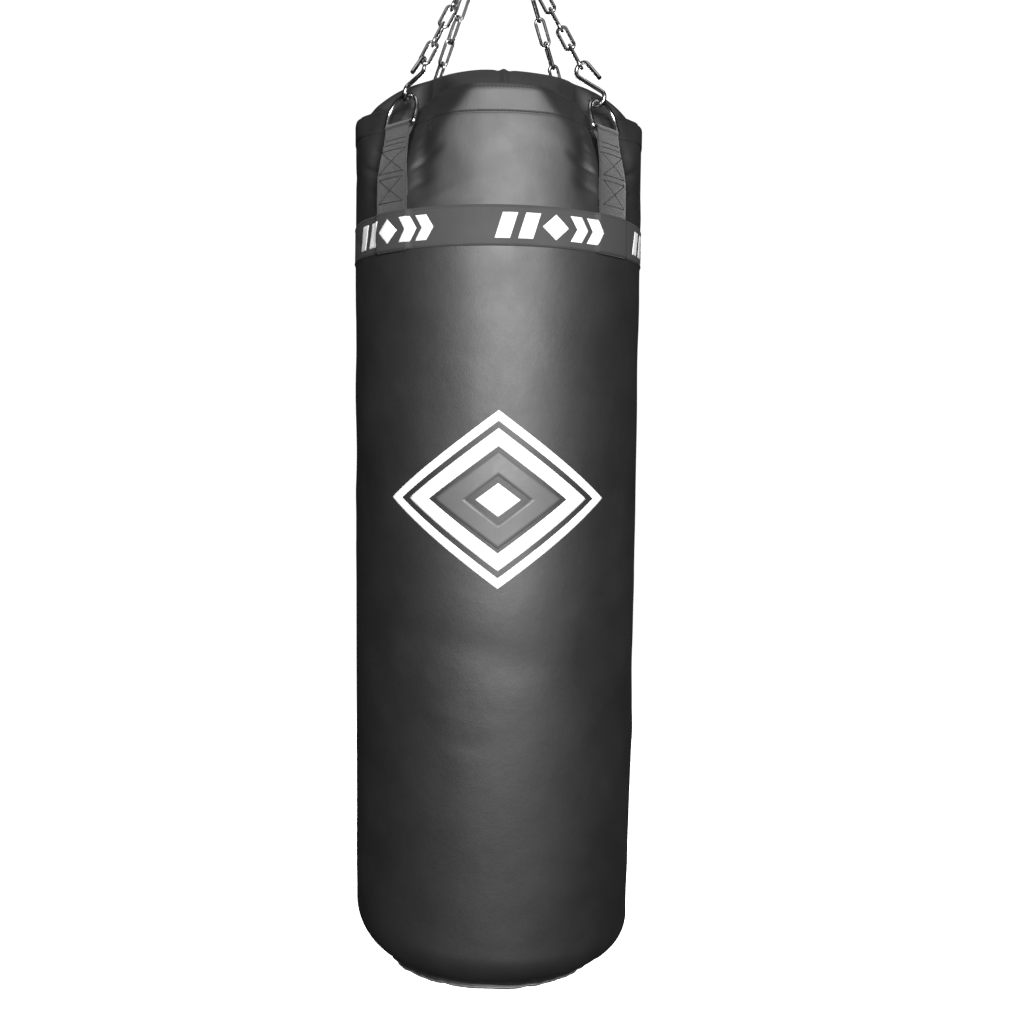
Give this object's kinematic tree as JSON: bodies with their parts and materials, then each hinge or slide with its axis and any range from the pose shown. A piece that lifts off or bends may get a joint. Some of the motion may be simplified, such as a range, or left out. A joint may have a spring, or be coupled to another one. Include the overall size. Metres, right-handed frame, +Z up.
{
  "type": "hanging heavy punching bag",
  "caption": "Filled vinyl cylinder bag hung by webbing straps, D-rings, S-hooks and chains from a ring and ball-bearing swivel; struck in boxing training.",
  "frame": {"origin": "centre of the hanging eye's bore, from which the whole bag hangs", "axes": "+Z up along the bag's axis; -Y is the front with the large printed mark; +X is to the right seen from the front; the eye's bore runs along Y"},
  "size_m": [0.3577, 0.358, 1.4437],
  "materials": {
    "zinc_steel": "satin",
    "chain_steel": "satin",
    "swivel_steel": "satin",
    "screw_steel": "satin",
    "bearing_steel": "polished",
    "black_vinyl": "satin",
    "lid_vinyl": "satin",
    "welt_vinyl": "satin",
    "band_print": "matte",
    "webbing": "matte",
    "zip_tape": "matte",
    "zip_coil": "satin",
    "zip_metal": "satin",
    "liner_foam": "matte",
    "textile_fibre": "matte",
    "core_cloth": "matte",
    "core_sand": "matte"
  },
  "bodies": {
    "hanger": {"hanging_eye": "zinc_steel", "swivel_housing": "swivel_steel", "swivel_cap": "swivel_steel", "swivel_cap_screws": "screw_steel", "bearing_lower_race": "bearing_steel", "bearing_balls": "bearing_steel"},
    "swivel": {"swivel_eye_bolt": "zinc_steel", "bearing_upper_race": "bearing_steel", "swivel_lock_nut": "screw_steel"},
    "gather_ring": {"gather_ring": "zinc_steel"},
    "bag": {"bag_shell": "black_vinyl", "rim_hem": "black_vinyl", "bottom_panel": "black_vinyl", "bottom_welt": "welt_vinyl", "back_seam_strip": "black_vinyl", "printed_band": "band_print", "top_lid": "lid_vinyl", "lid_zip_tape": "zip_tape", "lid_zip_coil": "zip_coil", "foam_liner": "liner_foam", "base_pad": "liner_foam", "fibre_filling": "textile_fibre", "sand_core_bag": "core_cloth", "sand_core": "core_sand", "strap_fl": "webbing", "strap_fr": "webbing", "strap_bl": "webbing", "strap_br": "webbing"},
    "zip_slider": {"zip_slider": "zip_metal"},
    "zip_pull": {"zip_pull": "zip_metal"},
    "d_ring_fl": {"d_ring_fl": "zinc_steel"},
    "chain_fl": {"chain_fl": "chain_steel", "s_hook_fl": "zinc_steel"},
    "d_ring_fr": {"d_ring_fr": "zinc_steel"},
    "chain_fr": {"chain_fr": "chain_steel", "s_hook_fr": "zinc_steel"},
    "d_ring_bl": {"d_ring_bl": "zinc_steel"},
    "chain_bl": {"chain_bl": "chain_steel", "s_hook_bl": "zinc_steel"},
    "d_ring_br": {"d_ring_br": "zinc_steel"},
    "chain_br": {"chain_br": "chain_steel", "s_hook_br": "zinc_steel"}
  },
  "joints": [
    {"name": "swivel_spin", "type": "hinge", "parent": "hanger", "child": "swivel", "pos_m": [0, 0, -0.084], "axis": [0, 0, 1], "continuous": true},
    {"name": "ring_swing", "type": "hinge", "parent": "swivel", "child": "gather_ring", "pos_m": [0, 0, -0.09135], "axis": [1, 0, 0], "range_deg": [-30, 30]},
    {"name": "bag_swing", "type": "hinge", "parent": "gather_ring", "child": "bag", "pos_m": [0, 0, -0.11635], "axis": [0, 1, 0], "range_deg": [-30, 30]},
    {"name": "zip_slide", "type": "slide", "parent": "bag", "child": "zip_slider", "axis": [0, -1, 0], "range_m": [0, 0.12]},
    {"name": "zip_pull_flip", "type": "hinge", "parent": "zip_slider", "child": "zip_pull", "pos_m": [0, 0.06, -0.33477], "axis": [1, 0, 0], "range_deg": [0, 164]},
    {"name": "d_ring_rock_fl", "type": "hinge", "parent": "bag", "child": "d_ring_fl", "pos_m": [-0.11809, -0.11809, -0.41867], "axis": [0.7071, -0.7071, 0], "range_deg": [-0.3, 0.6]},
    {"name": "chain_twist_fl", "type": "hinge", "parent": "bag", "child": "chain_fl", "pos_m": [-0.11032, -0.11032, -0.38229], "axis": [0.3654, 0.3865, 0.8468], "range_deg": [-8, 4]},
    {"name": "d_ring_rock_fr", "type": "hinge", "parent": "bag", "child": "d_ring_fr", "pos_m": [0.11809, -0.11809, -0.41867], "axis": [0.7071, 0.7071, 0], "range_deg": [-0.3, 0.6]},
    {"name": "chain_twist_fr", "type": "hinge", "parent": "bag", "child": "chain_fr", "pos_m": [0.11032, -0.11032, -0.38229], "axis": [-0.3654, 0.3865, 0.8468], "range_deg": [-8, 8]},
    {"name": "d_ring_rock_bl", "type": "hinge", "parent": "bag", "child": "d_ring_bl", "pos_m": [-0.11809, 0.11809, -0.41867], "axis": [-0.7071, -0.7071, 0], "range_deg": [-0.3, 0.6]},
    {"name": "chain_twist_bl", "type": "hinge", "parent": "bag", "child": "chain_bl", "pos_m": [-0.11032, 0.11032, -0.38229], "axis": [0.3428, -0.3866, 0.8561], "range_deg": [-8, 8]},
    {"name": "d_ring_rock_br", "type": "hinge", "parent": "bag", "child": "d_ring_br", "pos_m": [0.11809, 0.11809, -0.41867], "axis": [-0.7071, 0.7071, 0], "range_deg": [-0.3, 0.6]},
    {"name": "chain_twist_br", "type": "hinge", "parent": "bag", "child": "chain_br", "pos_m": [0.11032, 0.11032, -0.38229], "axis": [-0.3428, -0.3866, 0.8561], "range_deg": [-1, 8]}
  ]
}
